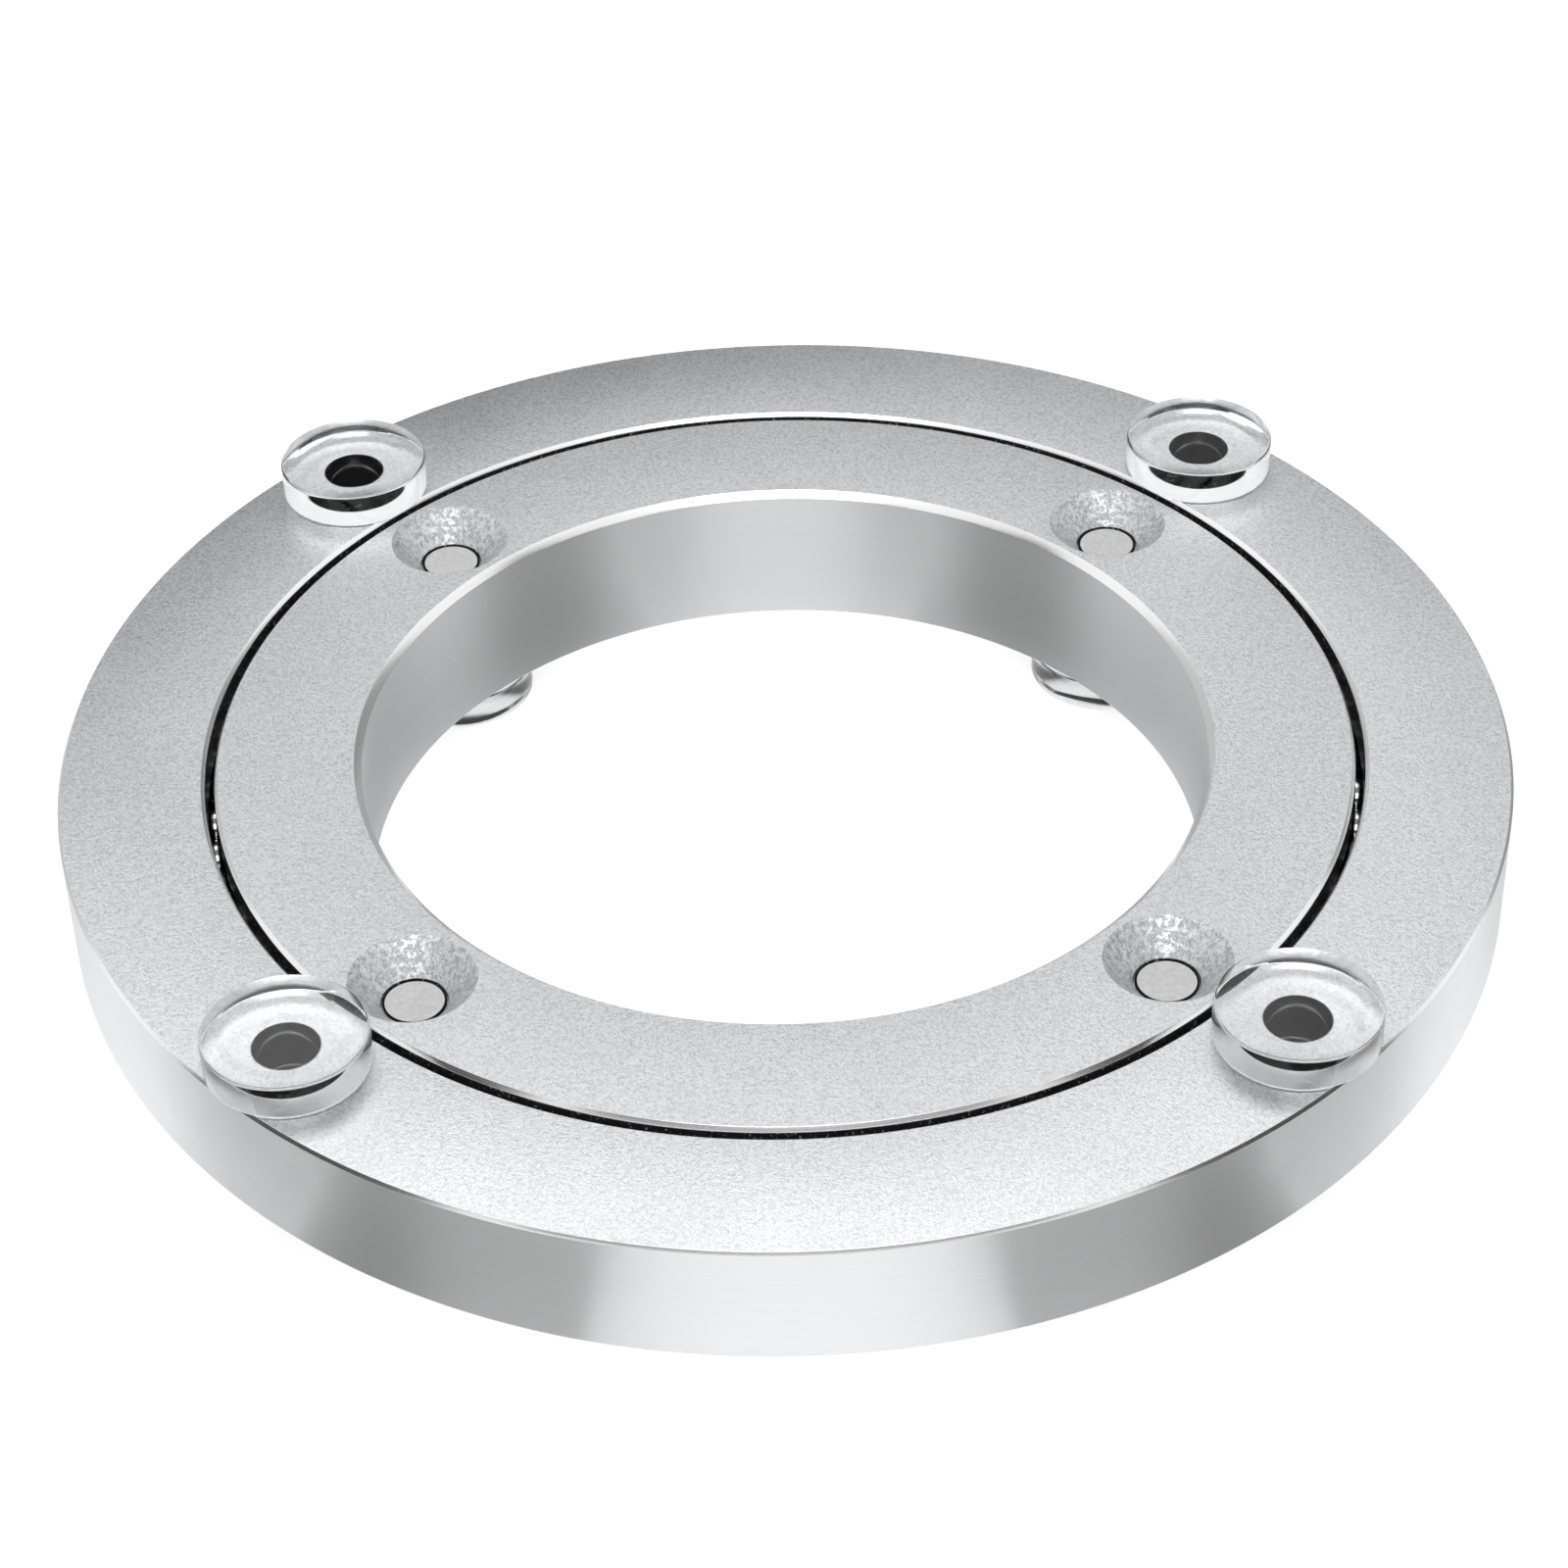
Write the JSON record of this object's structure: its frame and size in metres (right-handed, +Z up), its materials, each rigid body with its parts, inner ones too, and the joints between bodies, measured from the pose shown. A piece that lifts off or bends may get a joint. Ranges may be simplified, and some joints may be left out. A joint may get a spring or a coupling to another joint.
{
  "type": "turntable bearing",
  "caption": "Flat round turntable bearing: an aluminium inner and outer ring turn on a ball row between them, with countersunk screw holes filled by push-in clear feet.",
  "frame": {"origin": "on the floor under the bearing's axis, level with the bottom of the lower feet", "axes": "+Z up along the turning axis; the screw holes lie on the diagonals between +X and +Y; the ball-filling hole faces +Y"},
  "size_m": [0.1, 0.1, 0.016],
  "materials": {
    "aluminium": "fine blasted faces, turned walls, bright broken edges",
    "ball_steel": "polished steel",
    "plug_steel": "blackened steel",
    "clear_plastic": "clear moulded plastic"
  },
  "bodies": {
    "base": {"inner_ring": "aluminium", "lower_foot_1": "clear_plastic", "lower_foot_2": "clear_plastic", "lower_foot_3": "clear_plastic", "lower_foot_4": "clear_plastic"},
    "turntable": {"outer_ring": "aluminium", "ball_filler_plug": "plug_steel", "upper_foot_1": "clear_plastic", "upper_foot_2": "clear_plastic", "upper_foot_3": "clear_plastic", "upper_foot_4": "clear_plastic"},
    "ball_row": {"bearing_balls": "ball_steel"}
  },
  "joints": [
    {"name": "turntable_spin", "type": "hinge", "parent": "base", "child": "turntable", "pos_m": [0, 0, 0.009], "axis": [0, 0, 1], "continuous": true},
    {"name": "ball_row_spin", "type": "hinge", "parent": "base", "child": "ball_row", "pos_m": [0, 0, 0.009], "axis": [0, 0, 1], "continuous": true}
  ],
  "couplings": [
    {"joint": "ball_row_spin", "follows": "turntable_spin", "ratio": 0.5141}
  ]
}
